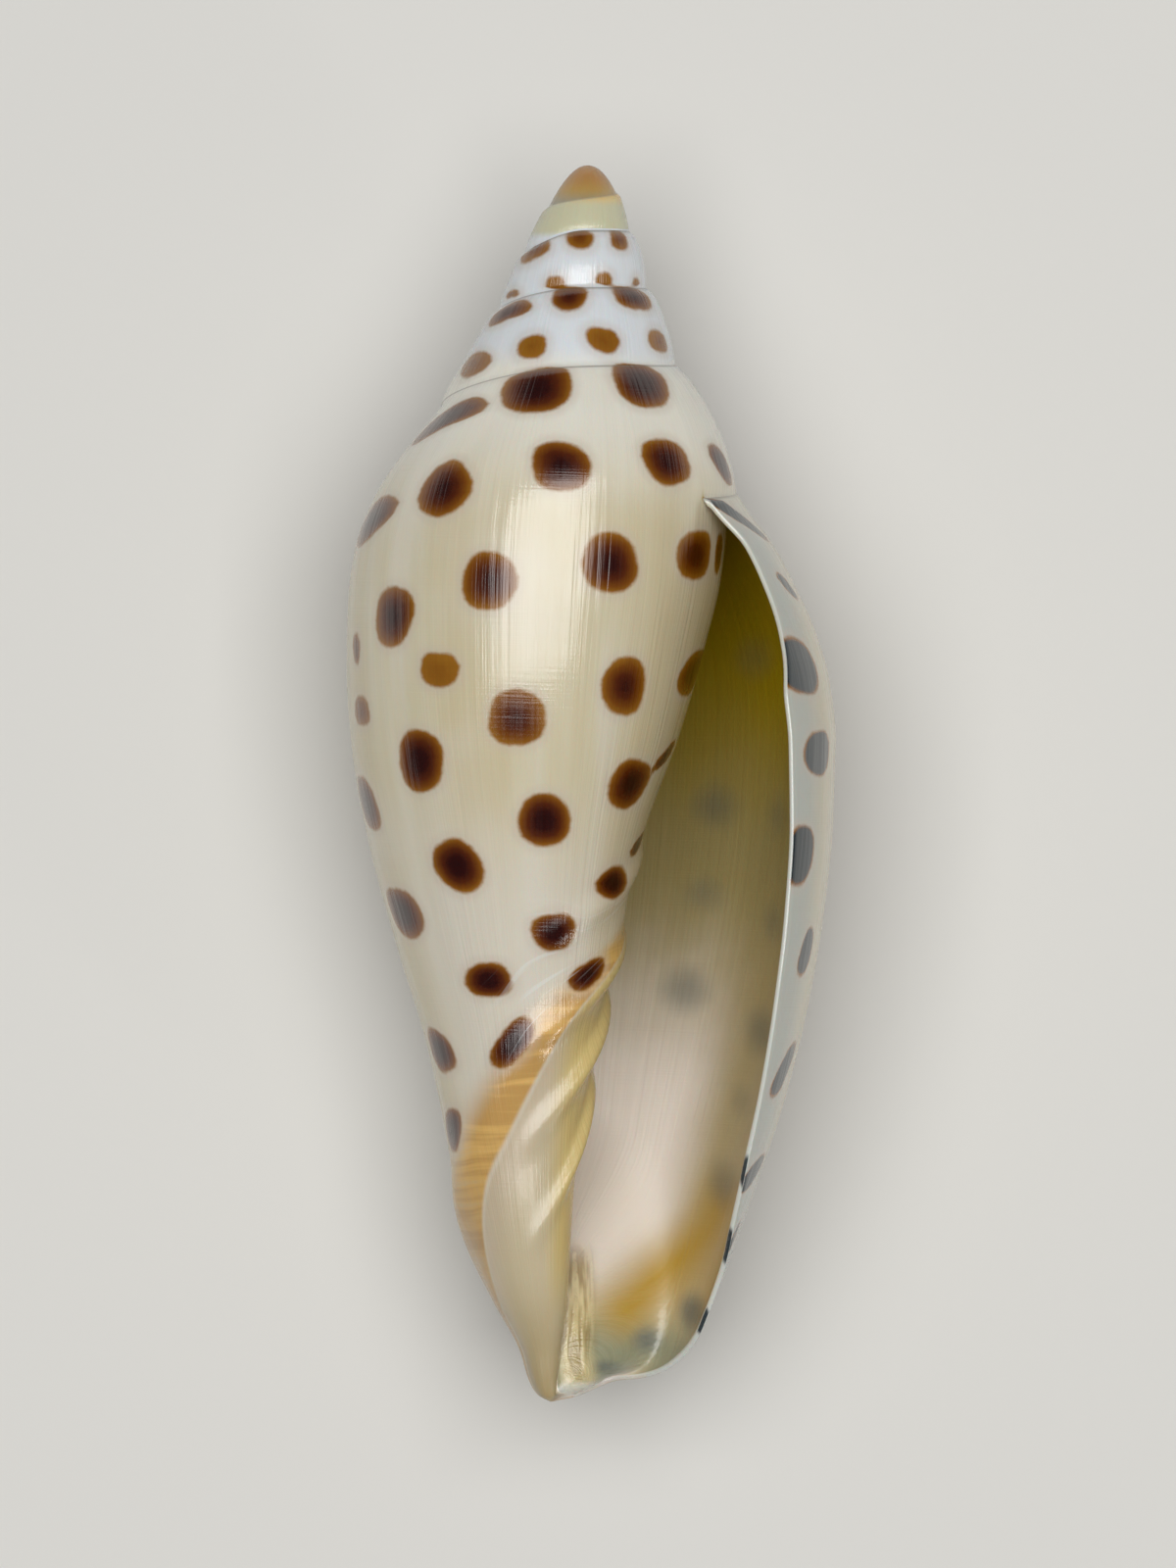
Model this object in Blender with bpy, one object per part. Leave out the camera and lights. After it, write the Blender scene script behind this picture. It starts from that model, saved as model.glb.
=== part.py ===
# A spotted volute sea shell, lying on its back with its aperture up.
# It grew as one piece: a blunt apex, a conical spire, a long body whorl that ends in a thin
# outer lip, a hollow aperture that winds inside, and a columella with four folds.
import math

import bmesh
import bpy
from mathutils import Matrix, Vector

# Driving dimensions, in millimetres. Drops are measured down from the apex, along the axis.
SHELL_LENGTH = 90.0
AXIS_BOW = 1.2
LIP_THICKNESS = 0.7
NOTCH_THICKNESS = 0.5
WALL_THICKNESS = 1.7
FLAT_DEPTH = 0.45
MM = 0.001
NORMAL_STEP = 0.2

# Turns are in degrees about the axis, counted back from the outer lip against the growth.
# The lip stands this far in front of the shell's right side.
LIP_FORWARD = 37.0
FULL_TURN = 360.0
APEX_TURN = 1650.0
APEX_TAPER = 180.0
CAVITY_TURN = 250.0

# How the shell lies at rest: its turn about its own axis, and the axis's slope to the floor.
REST_ROLL = 0.0
REST_PITCH = 0.0

# Mesh steps: columns in a turn, rows across a spire whorl, rows on the body, rings in the cavity.
TURN_COLUMNS = 48
BAND_ROWS = 4
BODY_ROWS = 38
DOME_RINGS = 3
CAVITY_RINGS = 14
# Rows crowd toward the suture and toward the base, and the hollow's rings toward the lip.
BAND_CROWDING = 1.3
BASE_CROWDING = 0.6
RING_CROWDING = 0.35
SMALL = 1e-6

# The suture's drop at each turn.
SUTURE_DROPS = [
    (-143, 26.0), (37, 23.5), (127, 21.0), (217, 17.6), (307, 14.9), (397, 14.3), (487, 13.0),
    (577, 10.8), (667, 9.1), (757, 8.8), (847, 7.5), (937, 6.7), (1027, 4.9), (1117, 4.7),
    (1207, 4.3), (1297, 3.2), (1477, 1.9), (1657, 0.95),
]
# The spire's radius at each drop.
SPIRE_RADII = [
    (0.0, 0.0), (0.15, 0.72), (0.4, 1.15), (0.95, 1.65), (1.9, 2.15), (3.3, 2.7), (5.0, 3.43),
    (6.7, 4.15), (8.8, 4.85), (10.7, 5.7), (14.4, 7.4), (17.3, 9.25), (23.5, 12.4),
]
# The whorl's radius, by its share of the way from the suture to the base, at four turns. The
# last two are the inner whorl, which is the wall beside the aperture and then the columella.
PROFILE_TURNS = [37, 217, 397, 577]
PROFILES = [
    (0.00, 12.4, 9.2, 7.4, 5.7), (0.02, 13.3, 10.2, 8.5, 6.6), (0.05, 15.0, 11.9, 9.95, 7.7),
    (0.10, 17.0, 14.0, 11.6, 9.2), (0.15, 18.65, 15.1, 11.8, 9.4), (0.20, 19.75, 15.4, 11.6, 8.9),
    (0.27, 20.4, 15.25, 10.6, 7.7), (0.35, 20.4, 14.6, 9.1, 5.8), (0.45, 19.9, 13.0, 6.6, 4.0),
    (0.55, 18.9, 10.8, 4.8, 2.7), (0.65, 17.35, 8.5, 3.3, 2.2), (0.75, 15.2, 7.0, 2.2, 1.8),
    (0.80, 14.0, 6.4, 1.8, 1.6), (0.85, 12.8, 5.4, 1.55, 1.4), (0.90, 11.5, 3.9, 1.3, 1.2),
    (0.95, 10.1, 1.9, 0.75, 0.7), (0.98, 8.3, 1.25, 0.5, 0.5), (0.995, 4.5, 0.7, 0.35, 0.35),
    (1.00, 0.0, 0.0, 0.0, 0.0),
]
GROWTH_PER_TURN = 1.6
# The outer lip's edge: at each row share, how far down it is and how far back it is set.
LIP_EDGE = [
    (0.000, 0.000, 0), (0.050, 0.050, 6), (0.100, 0.100, 5.5), (0.160, 0.160, 3),
    (0.220, 0.220, 0), (0.330, 0.330, 1.5), (0.440, 0.440, 2.8), (0.545, 0.545, 4),
    (0.654, 0.654, 6.5), (0.708, 0.708, 8.5), (0.762, 0.762, 12.3), (0.805, 0.805, 17),
    (0.850, 0.850, 25), (0.900, 0.908, 34), (0.930, 0.945, 44), (0.950, 0.965, 54),
    (0.965, 0.974, 66), (0.980, 0.978, 80), (0.990, 0.987, 88), (1.000, 1.000, 92),
]
NOTCH_REACH = 140.0
# The hollow's lowest point, as a share of the way down, at each turn.
CAVITY_FLOORS = [
    (0, 1.0), (20, 0.985), (45, 0.965), (90, 0.915), (125, 0.88), (215, 0.78), (250, 0.74),
]
# The columella's folds: each one's drop on the shell's right side, its height and half width.
FOLDS = [(49.9, 0.45), (56.2, 0.65), (61.6, 0.8), (67.8, 0.7)]
FOLD_TURN = 397.0
FOLD_START = 270.0
FOLD_FADE = 85.0
FOLD_HALF_WIDTH = 1.35
# The fasciole, a low band that winds up from the notch at the base: its drop at each turn.
FASCIOLE_DROPS = [
    (92, 88.5), (127, 86), (160, 83), (190, 79), (217, 75), (250, 71), (280, 66.5), (307, 62.5),
    (400, 54),
]
FASCIOLE_HEIGHT = 0.4
FASCIOLE_HALF_WIDTH = 2.6
FASCIOLE_START = 80.0
FASCIOLE_FADE = 60.0
# Each spire whorl stands out below its suture, and swells between its sutures.
SUTURE_LEDGE = 0.3
LEDGE_START = 0.12
TALLEST_LEDGE_BAND = 5.0
BAND_SWELL = 0.05
# Where the body whorl's upper part turns into the spire: the start, and the depth of the join.
SPIRE_START = 300.0
SPIRE_FADE = 60.0
SPIRE_JOIN = 1.5
# The hollow: how far round its wall thickens and its rows straighten, and the room at its ends.
WALL_THICKENS = 60.0
ROUNDING_TURN = 90.0
LIP_ROUNDING = 0.004
CAVITY_ROUNDING = 0.22
ROOF_SHARE = 1.4
FLOOR_LIFT = 0.4
NOTCH_EDGE_START = 0.85
NOTCH_EDGE_FADE = 0.1
ROW_GAP = 0.1
LEAST_HOLLOW = 0.5


def through(points):
    """A smooth curve through (x, y) points that makes no waves between them."""
    xs = [float(x) for x, _ in points]
    ys = [float(y) for _, y in points]
    steps = [b - a for a, b in zip(xs, xs[1:])]
    slopes = [(b - a) / s for a, b, s in zip(ys, ys[1:], steps)]
    tangents = [slopes[0]]
    for before, after, s0, s1 in zip(slopes, slopes[1:], steps, steps[1:]):
        w0, w1 = 2 * s1 + s0, s1 + 2 * s0
        rising = before * after > 0
        tangents.append((w0 + w1) / (w0 / before + w1 / after) if rising else 0.0)
    tangents.append(slopes[-1])

    def value(x):
        x = min(max(x, xs[0]), xs[-1])
        k = max(i for i in range(len(steps)) if xs[i] <= x)
        t = (x - xs[k]) / steps[k]
        bend = (2 * t**3 - 3 * t**2) * (ys[k] - ys[k + 1])
        lean = steps[k] * ((t**3 - 2 * t**2 + t) * tangents[k] + (t**3 - t**2) * tangents[k + 1])
        return ys[k] + bend + lean

    return value


def ease(x):
    x = min(max(x, 0.0), 1.0)
    return x * x * (3 - 2 * x)


def mix(a, b, share):
    return a + (b - a) * share


def bell(distance, half_width):
    return math.exp(-((distance / half_width) ** 2))


plain_suture_drop = through(SUTURE_DROPS)
spire_radius = through(SPIRE_RADII)
profile_curves = [through([(row[0], row[k + 1]) for row in PROFILES]) for k in range(4)]
lip_share = through([(row, share) for row, share, _ in LIP_EDGE])
lip_set_back = through([(row, degrees) for row, _, degrees in LIP_EDGE])
cavity_floor = through(CAVITY_FLOORS)
fasciole_drop = through(FASCIOLE_DROPS)


def suture_drop(turn):
    """The upper edge of the whorl. At its start near the apex it leaves the whorl's lower edge."""
    drop = plain_suture_drop(turn)
    if turn > APEX_TURN - APEX_TAPER:
        lower = plain_suture_drop(turn - FULL_TURN)
        drop = mix(drop, lower, ease(1 - (APEX_TURN - turn) / APEX_TAPER))
    return drop


def profile_radius(turn, share):
    """The whorl's radius at a turn, between the four drawn profiles."""
    first, last = PROFILE_TURNS[0], PROFILE_TURNS[-1]
    at = min(max(turn, first), last)
    radii = [curve(share) for curve in profile_curves]
    radius = through(list(zip(PROFILE_TURNS, radii)))(at)
    return radius * GROWTH_PER_TURN ** ((at - turn) / FULL_TURN)


def share_at(turn, drop):
    top = suture_drop(turn)
    return min(max((drop - top) / (SHELL_LENGTH - top), 0.0), 1.0)


def drop_at(turn, share):
    return mix(suture_drop(turn), SHELL_LENGTH, share)


def fasciole_rise(turn, drop):
    height = FASCIOLE_HEIGHT * ease((turn - FASCIOLE_START) / FASCIOLE_FADE)
    return height * bell(drop - fasciole_drop(turn), FASCIOLE_HALF_WIDTH)


def band_radius(turn, drop):
    """The radius of a spire whorl between its two sutures."""
    top, foot = suture_drop(turn), suture_drop(turn - FULL_TURN)
    across = (drop - top) / max(foot - top, SMALL)
    swell = BAND_SWELL * 4 * across * (1 - across)
    height = min(1.0, (foot - top) / TALLEST_LEDGE_BAND)
    ledge = SUTURE_LEDGE * height * min(across / LEDGE_START, 1.0) * (1 - across)
    return spire_radius(drop) * (1 + swell) + ledge


def fold_rise(turn, drop):
    """The columella's folds, which fade out where they come round to the front."""
    shrink = GROWTH_PER_TURN ** ((FOLD_TURN - turn) / FULL_TURN)
    strength = ease((turn - FOLD_START) / FOLD_FADE)
    return strength * sum(height * bell(drop - at * shrink, FOLD_HALF_WIDTH) for at, height in FOLDS)


def outer_radius(turn, drop):
    """The outside of the body whorl. Near the end of its turn its top becomes the spire."""
    radius = profile_radius(turn, share_at(turn, drop))
    radius += fasciole_rise(turn, drop) + fold_rise(turn, drop)
    in_band = ease((suture_drop(turn - FULL_TURN) - drop) / SPIRE_JOIN + 1)
    share = ease((turn - SPIRE_START) / SPIRE_FADE) * in_band
    if share > 0:
        radius = mix(radius, band_radius(turn, drop), share)
    return radius


def inner_radius(turn, drop):
    """The wall beside the aperture, and the columella, one turn further in."""
    inner_turn = turn + FULL_TURN
    band_end = 1 - ease(turn / FASCIOLE_FADE)
    radius = profile_radius(inner_turn, share_at(inner_turn, drop))
    return radius + fasciole_rise(inner_turn, drop) * band_end + fold_rise(inner_turn, drop)


def place(radius, drop, turn):
    """A point of the shell as it lies: the apex toward +Y, and the aperture up."""
    angle = math.radians(LIP_FORWARD - turn)
    bow = AXIS_BOW * math.sin(math.pi * drop / SHELL_LENGTH)
    side = radius * math.cos(angle) - bow
    return Vector((side, -drop, radius * math.sin(angle))) * MM


def row_shares():
    """Shares of the way down the body whorl. The first rows end where the spire's rows do."""
    top, foot = suture_drop(FULL_TURN), suture_drop(0)
    band = (foot - top) / (SHELL_LENGTH - top)
    shares = [band * (row / BAND_ROWS) ** BAND_CROWDING for row in range(BAND_ROWS + 1)]
    rest = BODY_ROWS - BAND_ROWS
    for row in range(1, rest + 1):
        step = row / rest
        shares.append(band + (1 - band) * (step + BASE_CROWDING * (step - step**2)))
    return shares


def lip_fade(turn, reach):
    return max(0.0, 1 - turn / reach) ** 2


def body_place(turn, row_share):
    """Where a body row is at a turn: its real turn, drop and radius."""
    share = mix(row_share, lip_share(row_share), lip_fade(turn, NOTCH_REACH))
    real_turn = turn + lip_set_back(row_share) * lip_fade(turn, FULL_TURN)
    drop = drop_at(real_turn, share)
    return real_turn, drop, outer_radius(real_turn, drop)


def add_outside(mesh, shares):
    """The outside, as columns of points. A spire column ends on the whorl after it."""
    columns = []
    base = mesh.verts.new(place(0, SHELL_LENGTH, 0))
    for number in range(round(APEX_TURN / FULL_TURN * TURN_COLUMNS)):
        turn = number * FULL_TURN / TURN_COLUMNS
        top = suture_drop(turn)
        column = [mesh.verts.new(place(spire_radius(top), top, turn))]
        if number < TURN_COLUMNS:
            for share in shares[1:-1]:
                real_turn, drop, radius = body_place(turn, share)
                column.append(mesh.verts.new(place(radius, drop, real_turn)))
            column.append(base)
        else:
            foot = suture_drop(turn - FULL_TURN)
            for row in range(1, BAND_ROWS):
                drop = mix(top, foot, (row / BAND_ROWS) ** BAND_CROWDING)
                column.append(mesh.verts.new(place(band_radius(turn, drop), drop, turn)))
            column.append(columns[number - TURN_COLUMNS][0])
            if number == TURN_COLUMNS:
                for share in shares[BAND_ROWS + 1:-1]:
                    real_turn, drop, radius = body_place(turn, share)
                    column.append(mesh.verts.new(place(radius, drop, real_turn)))
                column.append(base)
        columns.append(column)
    return columns


def add_face(mesh, *corners):
    """A face through the corners, with any repeated corner left out."""
    distinct = []
    for corner in corners:
        if corner not in distinct:
            distinct.append(corner)
    if len(distinct) > 2:
        mesh.faces.new(distinct)


def skin_outside(mesh, columns):
    """Faces between the columns. The last column closes on the whorl's own start."""
    start = columns[-TURN_COLUMNS][0]
    for number, column in enumerate(columns):
        rows = BODY_ROWS if number < TURN_COLUMNS else BAND_ROWS
        after = columns[number + 1] if column is not columns[-1] else [start] * (rows + 1)
        for row in range(rows):
            add_face(mesh, column[row], column[row + 1], after[row + 1], after[row])


def close_apex(mesh, columns):
    """The dome of the first whorl, in rings that shrink to the apex."""
    rim = [column[0] for column in columns[-TURN_COLUMNS:]]
    tip = mesh.verts.new(place(0, 0, 0))
    outer = rim
    for ring in range(1, DOME_RINGS + 1):
        share = 1 - ring / (DOME_RINGS + 1)
        inner = []
        for step, vertex in enumerate(rim):
            turn = (len(columns) - TURN_COLUMNS + step) * FULL_TURN / TURN_COLUMNS
            top = suture_drop(turn)
            inner.append(mesh.verts.new(place(share * spire_radius(top), share**2 * top, turn)))
        join_rings(mesh, outer, inner)
        outer = inner
    for vertex, after in zip(outer, outer[1:] + outer[:1]):
        add_face(mesh, vertex, after, tip)


def join_rings(mesh, first, second):
    for a, b, c, d in zip(first, first[1:] + first[:1], second[1:] + second[:1], second):
        add_face(mesh, a, b, c, d)


def cavity_ring(turn, shares):
    """One ring of the hollow: down the outer wall's inner side, then up the columella."""
    inward = ease(turn / WALL_THICKENS)
    top = suture_drop(turn) + ROOF_SHARE * mix(LIP_THICKNESS, WALL_THICKNESS, inward)
    floor = cavity_floor(turn)
    bottom = mix(suture_drop(turn + FULL_TURN), SHELL_LENGTH, floor) - FLOOR_LIFT
    rounding = LIP_ROUNDING + CAVITY_ROUNDING * min(turn / ROUNDING_TURN, 1.0)
    points = [place(inner_radius(turn, top), top, turn)]
    for row, share in enumerate(shares[1:-1], 1):
        row_share = share * floor
        near_notch = ease((share - NOTCH_EDGE_START) / NOTCH_EDGE_FADE)
        edge = mix(LIP_THICKNESS, NOTCH_THICKNESS, near_notch)
        wall = mix(edge, WALL_THICKNESS, inward)
        real_turn, drop, radius = body_place(turn, row_share)
        radius_below = outer_radius(real_turn, drop + NORMAL_STEP)
        along = Vector((radius_below - radius, NORMAL_STEP)).normalized()
        radius -= wall * along.y
        drop = min(max(drop + wall * along.x, top + ROW_GAP * row), bottom)
        open_share = ease((1 - share) / rounding)
        real_turn = mix(turn, real_turn, open_share)
        inner = inner_radius(real_turn, drop)
        radius = inner + max(radius - inner, min(ROW_GAP * row, LEAST_HOLLOW)) * open_share
        points.append(place(radius, drop, real_turn))
    points.append(place(inner_radius(turn, bottom), bottom, turn))
    for share in reversed(shares[BAND_ROWS + 1:-1]):
        drop = mix(top, bottom, (share - shares[BAND_ROWS]) / (1 - shares[BAND_ROWS]))
        points.append(place(inner_radius(turn, drop), drop, turn))
    return points


def add_lip_and_cavity(mesh, columns, shares):
    """The thin lip, the hollow behind it, and the wall that closes the hollow deep inside."""
    edge = columns[0]
    inner_lip = columns[TURN_COLUMNS][BAND_ROWS + 1:-1]
    first = [mesh.verts.new(point) for point in cavity_ring(0, shares)[1:BODY_ROWS]]
    rim = [edge[0]] + first + [edge[-1]]
    for row in range(BODY_ROWS):
        add_face(mesh, edge[row], rim[row], rim[row + 1], edge[row + 1])
    ring = rim + inner_lip[::-1]
    for number in range(1, CAVITY_RINGS + 1):
        step = number / CAVITY_RINGS
        turn = CAVITY_TURN * mix(step, step**2, RING_CROWDING)
        deeper = [mesh.verts.new(point) for point in cavity_ring(turn, shares)]
        join_rings(mesh, ring, deeper)
        ring = deeper
    outer = ring[:BODY_ROWS + 1]
    inner = [ring[0]] * (BAND_ROWS + 1) + ring[BODY_ROWS + 1:][::-1] + [ring[BODY_ROWS]]
    for row in range(BODY_ROWS):
        add_face(mesh, outer[row], outer[row + 1], inner[row + 1], inner[row])


def cut_flat(mesh):
    """The small flat spot that the shell rests on, at height zero."""
    low = min(vertex.co.z for vertex in mesh.verts)
    floor = low + FLAT_DEPTH * MM
    parts = mesh.verts[:] + mesh.edges[:] + mesh.faces[:]
    cut = bmesh.ops.bisect_plane(
        mesh, geom=parts, dist=SMALL * MM, plane_co=(0, 0, floor), plane_no=(0, 0, -1),
        clear_outer=True,
    )
    rim = [item for item in cut["geom_cut"] if isinstance(item, bmesh.types.BMEdge)]
    bmesh.ops.contextual_create(mesh, geom=rim)
    sides = [vertex.co for vertex in mesh.verts]
    middle_x = (min(c.x for c in sides) + max(c.x for c in sides)) / 2
    middle_y = (min(c.y for c in sides) + max(c.y for c in sides)) / 2
    bmesh.ops.translate(mesh, verts=mesh.verts, vec=(-middle_x, -middle_y, -floor))


def shell_material():
    material = bpy.data.materials.new("glossy cream shell")
    material.use_nodes = True
    surface = material.node_tree.nodes["Principled BSDF"]
    surface.inputs["Base Color"].default_value = (0.68, 0.6, 0.45, 1.0)
    surface.inputs["Roughness"].default_value = 0.18
    surface.inputs["Metallic"].default_value = 0.0
    return material


def build_shell():
    mesh = bmesh.new()
    shares = row_shares()
    columns = add_outside(mesh, shares)
    skin_outside(mesh, columns)
    close_apex(mesh, columns)
    add_lip_and_cavity(mesh, columns, shares)
    bmesh.ops.triangulate(mesh, faces=mesh.faces)
    bmesh.ops.recalc_face_normals(mesh, faces=mesh.faces)
    roll = Matrix.Rotation(math.radians(REST_ROLL), 3, "Y")
    pitch = Matrix.Rotation(math.radians(REST_PITCH), 3, "X")
    bmesh.ops.rotate(mesh, verts=mesh.verts, cent=(0, 0, 0), matrix=pitch @ roll)
    cut_flat(mesh)
    bmesh.ops.recalc_face_normals(mesh, faces=mesh.faces)
    data = bpy.data.meshes.new("shell")
    mesh.to_mesh(data)
    mesh.free()
    data.shade_smooth()
    data.materials.append(shell_material())
    return bpy.data.objects.new("shell", data)


for item in list(bpy.data.objects):
    bpy.data.objects.remove(item)
collection = bpy.data.collections.new("elizabeths volute shell")
bpy.context.scene.collection.children.link(collection)
collection.objects.link(build_shell())
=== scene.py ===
import math

import bmesh
import bpy
import numpy as np
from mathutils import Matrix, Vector
from mathutils.bvhtree import BVHTree


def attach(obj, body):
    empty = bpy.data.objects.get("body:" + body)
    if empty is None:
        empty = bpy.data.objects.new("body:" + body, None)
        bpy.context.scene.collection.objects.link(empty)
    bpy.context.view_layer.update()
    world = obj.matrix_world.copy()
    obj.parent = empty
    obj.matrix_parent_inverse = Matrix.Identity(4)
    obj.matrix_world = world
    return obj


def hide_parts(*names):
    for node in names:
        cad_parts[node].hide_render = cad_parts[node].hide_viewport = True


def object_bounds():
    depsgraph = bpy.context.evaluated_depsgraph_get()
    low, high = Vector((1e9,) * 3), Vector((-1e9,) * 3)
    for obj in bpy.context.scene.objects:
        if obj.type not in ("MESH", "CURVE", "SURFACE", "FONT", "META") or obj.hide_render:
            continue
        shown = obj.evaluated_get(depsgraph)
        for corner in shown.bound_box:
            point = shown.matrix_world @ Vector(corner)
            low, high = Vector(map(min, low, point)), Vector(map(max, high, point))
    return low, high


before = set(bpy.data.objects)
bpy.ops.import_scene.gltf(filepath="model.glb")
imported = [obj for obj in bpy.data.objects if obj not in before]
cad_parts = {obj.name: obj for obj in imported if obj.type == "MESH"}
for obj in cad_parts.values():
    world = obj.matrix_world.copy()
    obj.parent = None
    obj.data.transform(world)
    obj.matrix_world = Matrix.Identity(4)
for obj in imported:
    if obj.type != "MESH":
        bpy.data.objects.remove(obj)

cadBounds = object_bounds()
mm = 0.001

# The shell's growth, in millimetres and degrees. Drops are measured down from the apex.
# A turn is counted back from the outer lip against the growth. The band values say where the
# outside of the body whorl gives way to the spire.
shell = {
    "length": 90.0,
    "axisBow": 1.2,
    "lipThickness": 0.4,
    "notchThickness": 0.35,
    "wallThickness": 1.7,
    "flatDepth": 0.45,
    "lipForward": 37.0,
    "apexTurn": 1650.0,
    "apexTaper": 180.0,
    "cavityTurn": 250.0,
    "growthPerTurn": 1.6,
    "notchReach": 140.0,
    "swell": 0.05,
    "ledge": 0.38,
    "ledgeWidth": 0.1,
    "tallestLedgeBand": 5.0,
    "bandStart": 300.0,
    "bandFade": 60.0,
    "bandFoot": 1.5,
    "rimBulge": 0.3,
    "leastArcRadius": 2.0,
}

# The hollow behind the lip: how its wall thickens, how it keeps clear of the turn inside it,
# and how it rounds off at its foot.
hollowShape = {
    "wallTurn": 60.0,
    "topWalls": 1.4,
    "bottomGap": 0.4,
    "notchShare": 0.85,
    "notchFade": 0.1,
    "slopeStep": 0.2,
    "gap": 0.1,
    "gapGrowth": 4,
    "gapPower": 0.77,
    "widestGap": 0.5,
    "roundingAtLip": 0.004,
    "roundingInside": 0.22,
    "roundingTurn": 90,
}

# How fine the mesh is, how much its rows are bunched, and what is joined in it.
steps = {"turn": 240, "band": 16, "body": 160, "dome": 8, "cavity": 48, "rim": 4}
turnStep = 360 / steps["turn"]
bunching = {"band": 1.3, "body": 0.6, "cavity": 0.6}
joins = {"points": 1e-4, "slivers": 1e-5}
meshMarks = ("turn", "drop", "side", "lipAt")
# What lipAt, the arc back to the lip, says on the spire and at the hollow's closed end.
farFromLip, hollowEnd = 99, 60

sutureDrops = [
    (-143, 26.0), (37, 23.5), (127, 21.0), (217, 17.6), (307, 14.9), (397, 14.3), (487, 13.0),
    (577, 10.8), (667, 9.1), (757, 8.8), (847, 7.5), (937, 6.7), (1027, 4.9), (1117, 4.7),
    (1207, 4.3), (1297, 3.2), (1477, 1.9), (1657, 0.95),
]
spireRadii = [
    (0.0, 0.0), (0.15, 0.72), (0.4, 1.15), (0.95, 1.65), (1.9, 2.15), (3.3, 2.7), (5.0, 3.43),
    (6.7, 4.15), (8.8, 4.85), (10.7, 5.7), (14.4, 7.4), (17.3, 9.25), (23.5, 12.4),
]
# The whorl's radius by its share of the way down, at four turns half a turn apart.
firstProfileTurn, profileStep = 37.0, 180.0
profiles = [
    (0.00, 12.4, 9.2, 7.4, 5.7), (0.02, 13.3, 10.2, 8.5, 6.6), (0.05, 15.0, 11.9, 9.95, 7.7),
    (0.10, 17.0, 14.0, 11.6, 9.2), (0.15, 18.65, 15.1, 11.8, 9.4), (0.20, 19.75, 15.4, 11.6, 8.9),
    (0.27, 20.4, 15.25, 10.6, 7.7), (0.35, 20.4, 14.6, 9.1, 5.8), (0.45, 19.9, 13.0, 6.6, 4.0),
    (0.55, 18.9, 10.8, 4.8, 2.7), (0.65, 17.35, 8.5, 3.3, 2.2), (0.75, 15.2, 7.0, 2.2, 1.8),
    (0.80, 14.0, 6.4, 1.8, 1.6), (0.85, 12.8, 5.4, 1.55, 1.4), (0.90, 11.5, 3.9, 1.3, 1.2),
    (0.95, 10.1, 1.9, 0.75, 0.7), (0.98, 8.3, 1.25, 0.5, 0.5), (0.995, 4.5, 0.7, 0.35, 0.35),
    (1.00, 0.0, 0.0, 0.0, 0.0),
]
# The lip's edge: row share, how far down it really is, and how far back it is set.
lipEdge = [
    (0.000, 0.000, 0), (0.050, 0.050, 6), (0.100, 0.100, 5.5), (0.160, 0.160, 3),
    (0.220, 0.220, 0), (0.330, 0.330, 1.5), (0.440, 0.440, 2.8), (0.545, 0.545, 4),
    (0.654, 0.654, 6.5), (0.708, 0.708, 8.5), (0.762, 0.762, 12.3), (0.805, 0.805, 17),
    (0.850, 0.850, 25), (0.900, 0.908, 34), (0.930, 0.945, 44), (0.950, 0.965, 54),
    (0.965, 0.974, 66), (0.980, 0.978, 80), (0.990, 0.987, 88), (1.000, 1.000, 92),
]
cavityFloors = [(0, 1.0), (20, 0.985), (45, 0.965), (90, 0.915), (125, 0.88), (215, 0.78), (250, 0.74)]
folds = {"dropsAndHeights": [(49.9, 0.45), (56.2, 0.75), (61.6, 0.9), (67.8, 0.8)],
         "turn": 397.0, "start": 270.0, "fade": 85.0, "halfWidth": 1.1}
# The fasciole's ridge, and the upper and lower edge of its colour, as drops by turn.
fasciole = {"drops": [(92, 88.5), (127, 86), (160, 83), (190, 79), (217, 75), (250, 71), (280, 66.5),
                      (307, 62.5), (400, 54)],
            "height": 0.4, "halfWidth": 2.6, "start": 80.0, "fade": 60.0,
            "upper": [(80, 87), (127, 84.5), (170, 79), (208, 71.5), (231, 69.6), (255, 67.2),
                      (275, 64.6), (294, 61.6), (333, 58), (400, 53)],
            "lower": [(80, 92), (150, 91), (190, 89.5), (211, 85.8), (228, 81.9), (240, 77.5),
                      (252, 74.3), (273, 70.8), (292, 67.5), (309, 64.6), (333, 60.8), (400, 55)]}


def smoothCurve(points):
    # a curve through the points with no waves between them, for arrays of x
    xs = np.array([p[0] for p in points], float)
    ys = np.array([p[1] for p in points], float)
    gaps = np.diff(xs)
    slopes = np.diff(ys) / gaps
    tangents = np.zeros(len(xs))
    tangents[0], tangents[-1] = slopes[0], slopes[-1]
    for k in range(1, len(xs) - 1):
        w0, w1 = 2 * gaps[k] + gaps[k - 1], gaps[k] + 2 * gaps[k - 1]
        if slopes[k - 1] * slopes[k] > 0:
            tangents[k] = (w0 + w1) / (w0 / slopes[k - 1] + w1 / slopes[k])

    def value(x):
        x = np.clip(x, xs[0], xs[-1])
        k = np.clip(np.searchsorted(xs, x, side="right") - 1, 0, len(gaps) - 1)
        t = (x - xs[k]) / gaps[k]
        bend = (2 * t**3 - 3 * t**2) * (ys[k] - ys[k + 1])
        lean = gaps[k] * ((t**3 - 2 * t**2 + t) * tangents[k] + (t**3 - t**2) * tangents[k + 1])
        return ys[k] + bend + lean

    return value


def ease(x):
    x = np.clip(x, 0.0, 1.0)
    return x * x * (3 - 2 * x)


def mix(a, b, share):
    return a + (b - a) * share


def bell(distance, halfWidth):
    return np.exp(-((distance / halfWidth) ** 2))


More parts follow.
